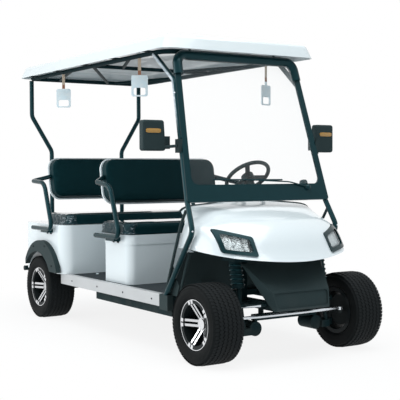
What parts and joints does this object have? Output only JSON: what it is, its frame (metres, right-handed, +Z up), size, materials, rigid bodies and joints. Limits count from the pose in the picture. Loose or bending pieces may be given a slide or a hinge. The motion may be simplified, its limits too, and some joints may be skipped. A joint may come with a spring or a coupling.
{
  "type": "four-seat electric golf cart",
  "caption": "Open-sided electric golf cart with two forward-facing bench rows, a leaning front screen, a moulded roof on bent posts, and steering that turns the front wheels.",
  "frame": {"origin": "on the ground under the middle of the cart's length and width", "axes": "+X forward, +Y to the cart's left, +Z up"},
  "size_m": [2.9299, 1.434, 1.8999],
  "materials": {
    "white_shell": "gloss",
    "black_tube": "satin",
    "frame_paint": "matte",
    "seat_vinyl": "satin",
    "dark_trim": "matte",
    "floor_mat": "matte",
    "sill_alloy": "brushed",
    "lamp_black": "gloss",
    "lamp_clear": "clear",
    "tail_red": "gloss",
    "screen_clear": "clear",
    "tyre_rubber": "matte",
    "wheel_alloy": "machined",
    "cast_iron": "matte",
    "bright_steel": "polished",
    "handle_plastic": "gloss",
    "battery_case": "matte"
  },
  "bodies": {
    "chassis": {"frame": "frame_paint", "floor_pan": "floor_mat", "sill_plates": "sill_alloy", "side_stays": "dark_trim", "front_cowl": "white_shell", "front_panel": "dark_trim", "dashboard": "dark_trim", "lamp_bezels": "lamp_black", "lamp_lenses": "lamp_clear", "windshield_frame": "black_tube", "windshield_glass": "screen_clear", "front_posts": "black_tube", "roof_shell": "white_shell", "roof_frame": "black_tube", "rear_posts": "black_tube", "front_seat_box": "white_shell", "rear_body": "white_shell", "arch_flares": "dark_trim", "cushions": "seat_vinyl", "backrests": "seat_vinyl", "seat_back_shells": "white_shell", "seat_frames": "black_tube", "mirrors": "dark_trim", "grab_handles": "handle_plastic", "front_suspension": "frame_paint", "rear_axle": "cast_iron", "rear_springs": "frame_paint", "battery_pack": "battery_case", "steering_column": "dark_trim", "pedals": "dark_trim", "tail_lamps": "tail_red"},
    "steering": {"steering_wheel": "dark_trim"},
    "knuckle_left": {"knuckle_left": "cast_iron"},
    "knuckle_right": {"knuckle_right": "cast_iron"},
    "tie_rod": {"tie_rod": "bright_steel"},
    "wheel_front_left": {"tyre_front_left": "tyre_rubber", "rim_front_left": "wheel_alloy", "drum_front_left": "cast_iron"},
    "wheel_front_right": {"tyre_front_right": "tyre_rubber", "rim_front_right": "wheel_alloy", "drum_front_right": "cast_iron"},
    "wheel_rear_left": {"tyre_rear_left": "tyre_rubber", "rim_rear_left": "wheel_alloy", "drum_rear_left": "cast_iron"},
    "wheel_rear_right": {"tyre_rear_right": "tyre_rubber", "rim_rear_right": "wheel_alloy", "drum_rear_right": "cast_iron"}
  },
  "joints": [
    {"name": "steer_left", "type": "hinge", "parent": "chassis", "child": "knuckle_left", "pos_m": [1.235, 0.375, 0.23], "axis": [0, 0, 1], "range_deg": [-30, 30]},
    {"name": "steer_right", "type": "hinge", "parent": "chassis", "child": "knuckle_right", "pos_m": [1.235, -0.375, 0.23], "axis": [0, 0, 1], "range_deg": [-30, 30]},
    {"name": "tie_rod_pivot", "type": "hinge", "parent": "knuckle_left", "child": "tie_rod", "pos_m": [1.335, 0.375, 0.257], "axis": [0, 0, 1], "range_deg": [-30, 30]},
    {"name": "steering_turn", "type": "hinge", "parent": "chassis", "child": "steering", "pos_m": [0.523, 0.28, 1.045], "axis": [-0.6428, 0, 0.766], "range_deg": [-390, 390]},
    {"name": "spin_front_left", "type": "hinge", "parent": "knuckle_left", "child": "wheel_front_left", "pos_m": [1.235, 0.5115, 0.23], "axis": [0, 1, 0], "continuous": true},
    {"name": "spin_front_right", "type": "hinge", "parent": "knuckle_right", "child": "wheel_front_right", "pos_m": [1.235, -0.5115, 0.23], "axis": [0, 1, 0], "continuous": true},
    {"name": "spin_rear_left", "type": "hinge", "parent": "chassis", "child": "wheel_rear_left", "pos_m": [-0.915, 0.5115, 0.23], "axis": [0, 1, 0], "continuous": true},
    {"name": "spin_rear_right", "type": "hinge", "parent": "chassis", "child": "wheel_rear_right", "pos_m": [-0.915, -0.5115, 0.23], "axis": [0, 1, 0], "continuous": true}
  ],
  "couplings": [
    {"joint": "steer_right", "follows": "steer_left", "ratio": 1},
    {"joint": "tie_rod_pivot", "follows": "steer_left", "ratio": -1},
    {"joint": "steering_turn", "follows": "steer_left", "ratio": 13}
  ]
}
